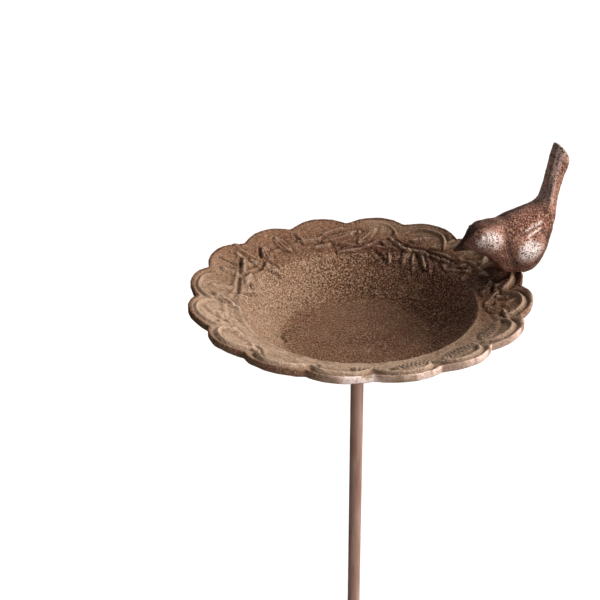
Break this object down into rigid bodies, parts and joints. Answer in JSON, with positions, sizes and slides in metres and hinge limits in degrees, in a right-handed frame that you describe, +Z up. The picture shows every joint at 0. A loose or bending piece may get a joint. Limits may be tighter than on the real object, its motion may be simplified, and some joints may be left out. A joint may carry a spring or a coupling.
{
  "type": "bird feeder on pole",
  "caption": "Scalloped cast dish for seed or water with a perching bird figure, on a sectional rod with a step-in ground fork.",
  "frame": {"origin": "on the pole's axis at ground level, level with the underside of the fork's arm", "axes": "+Z up along the pole, +X from the pole towards the fork's prong"},
  "size_m": [0.2496, 0.226, 1.2315],
  "materials": {
    "cast_dish": "matt rust-brown patina on a sand-cast surface",
    "cast_bird": "antique bronze patina, semi-gloss on the high spots",
    "fasteners": "dull zinc-plated",
    "locknut": "dark brown paint, worn at the corners",
    "rod_upper": "satin brown paint",
    "rod_lower": "satin dark grey-brown paint",
    "welds": "painted-over weld bead, rippled"
  },
  "bodies": {
    "stake": {"pole_lower": "rod_lower", "pole_middle": "rod_upper", "pole_upper": "rod_upper", "joint_stud_lower": "fasteners", "joint_stud_upper": "fasteners", "fork_prong": "rod_lower", "leg_welds": "welds", "arm_weld": "welds", "dish_locknut": "locknut"},
    "dish_group": {"dish": "cast_dish", "bird": "cast_bird", "bird_screw": "fasteners", "screw_washer": "fasteners"}
  },
  "joints": [
    {"name": "dish_turn", "type": "hinge", "parent": "stake", "child": "dish_group", "pos_m": [0, 0, 0.875], "axis": [0, 0, 1], "range_deg": [-180, 180]}
  ]
}
